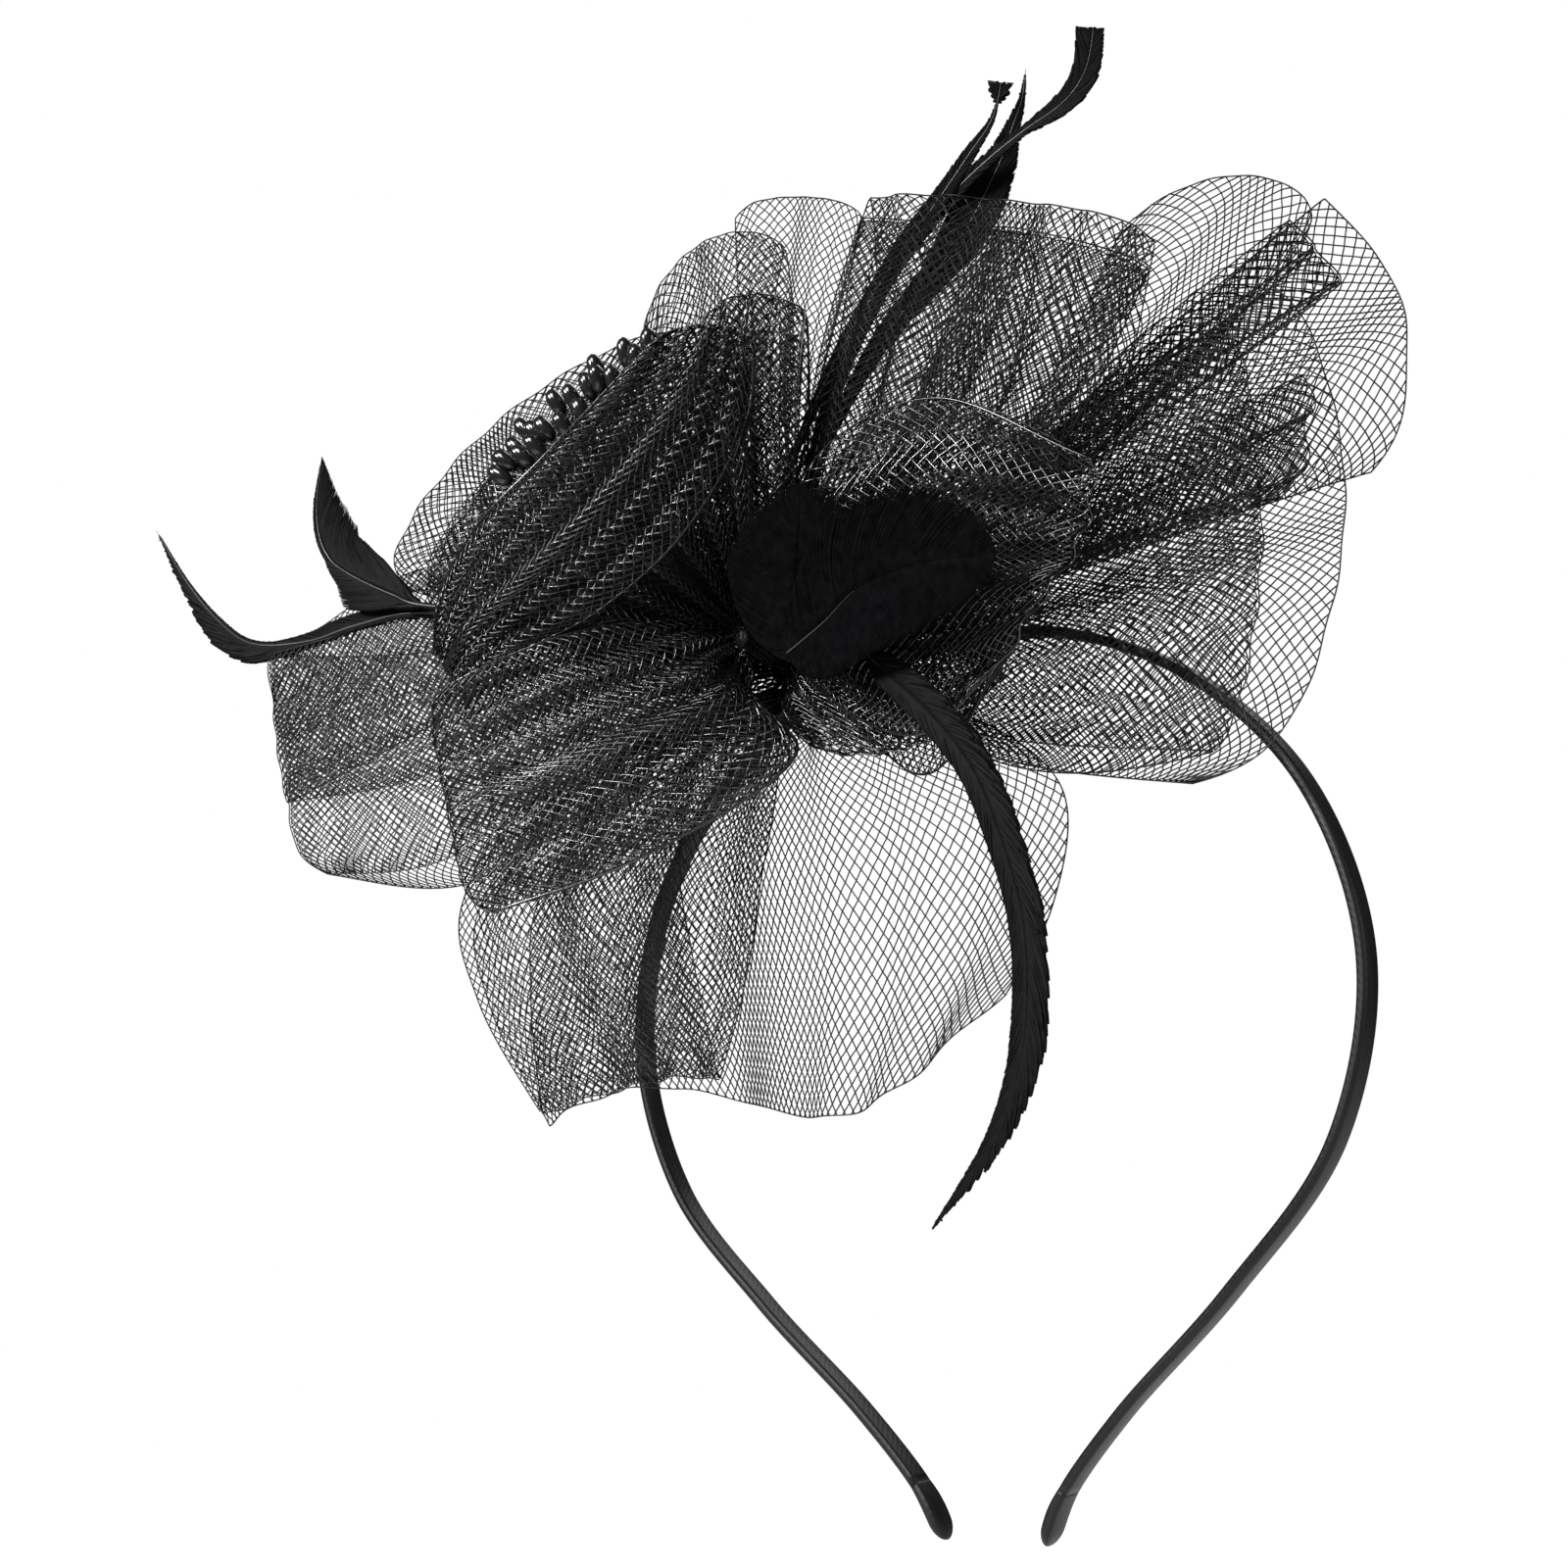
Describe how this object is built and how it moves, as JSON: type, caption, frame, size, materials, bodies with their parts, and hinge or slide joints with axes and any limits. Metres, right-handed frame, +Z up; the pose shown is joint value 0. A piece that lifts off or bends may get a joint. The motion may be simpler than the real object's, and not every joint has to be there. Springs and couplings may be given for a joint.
{
  "type": "fascinator headpiece",
  "caption": "Black fascinator: a narrow satin-covered spring headband with a side spray of crin mesh loops, a crin flower with beaded stamens, and feathers.",
  "frame": {"origin": "on the inner face of the band at the middle of its crown, where the band sits on the head", "axes": "+Z up out of the head, X across the head with the spray on the -X side, -Y to the front, where the spray faces"},
  "size_m": [0.2201, 0.062, 0.2129],
  "materials": {
    "satin": "dull black satin ribbon, wrapped tight",
    "spring_steel": "bare strip, hidden in the cover",
    "felt": "matte black felt",
    "hot_glue": "set hot glue",
    "thread": "black waxed thread",
    "crin_net": "black nylon monofilament braid, open mesh",
    "crin_petal": "black nylon monofilament braid, close mesh",
    "feather_pad": "dyed black goose pad feather, matte",
    "feather_coque": "dyed black feather, low sheen",
    "stamen": "black lacquered bead on a stiff thread"
  },
  "bodies": {
    "crown": {"band_satin_crown": "satin", "band_spring_crown": "spring_steel", "felt_base": "felt", "felt_backing": "felt", "glue_bead": "hot_glue", "gathered_neck": "crin_net", "thread_lashing": "thread", "loop_top_right": "crin_net", "loop_top_small": "crin_net", "loop_lower": "crin_net", "loop_right": "crin_net", "loop_upper_right": "crin_net", "loop_upper_left": "crin_net", "loop_left": "crin_net", "loop_back_left": "crin_net", "loop_top_centre": "crin_net", "petal_inner_back": "crin_petal", "petal_upper": "crin_petal", "petal_right": "crin_petal", "petal_small_lower": "crin_petal", "petal_flower_front": "crin_petal", "petal_flower_lower": "crin_petal", "feather_round_left": "feather_pad", "feather_round_right": "feather_pad", "feather_drooping": "feather_coque", "feather_top_long": "feather_coque", "feather_top_broad": "feather_coque", "feather_top_thin": "feather_coque", "feather_left_leaf": "feather_coque", "feather_left_curved": "feather_coque", "stamen_stalk": "thread", "stamen_1": "stamen", "stamen_2": "stamen", "stamen_3": "stamen", "stamen_4": "stamen", "stamen_5": "stamen", "stamen_6": "stamen", "stamen_7": "stamen", "stamen_8": "stamen", "stamen_9": "stamen", "stamen_10": "stamen", "stamen_11": "stamen", "stamen_12": "stamen", "stamen_13": "stamen", "stamen_14": "stamen", "stamen_15": "stamen", "stamen_16": "stamen", "stamen_17": "stamen", "stamen_18": "stamen", "stamen_19": "stamen", "stamen_20": "stamen"},
    "left_leg": {"band_satin_left": "satin", "band_spring_left": "spring_steel", "tip_cover_left": "satin"},
    "right_leg": {"band_satin_right": "satin", "band_spring_right": "spring_steel", "tip_cover_right": "satin"}
  },
  "joints": [
    {"name": "left_leg_flex", "type": "hinge", "parent": "crown", "child": "left_leg", "pos_m": [-0.06008, 0, -0.02822], "axis": [0, 1, 0], "range_deg": [-2, 22], "stiffness_Nm_per_rad": 0.45},
    {"name": "right_leg_flex", "type": "hinge", "parent": "crown", "child": "right_leg", "pos_m": [0.06008, 0, -0.02822], "axis": [0, -1, 0], "range_deg": [-2, 22], "stiffness_Nm_per_rad": 0.45}
  ]
}
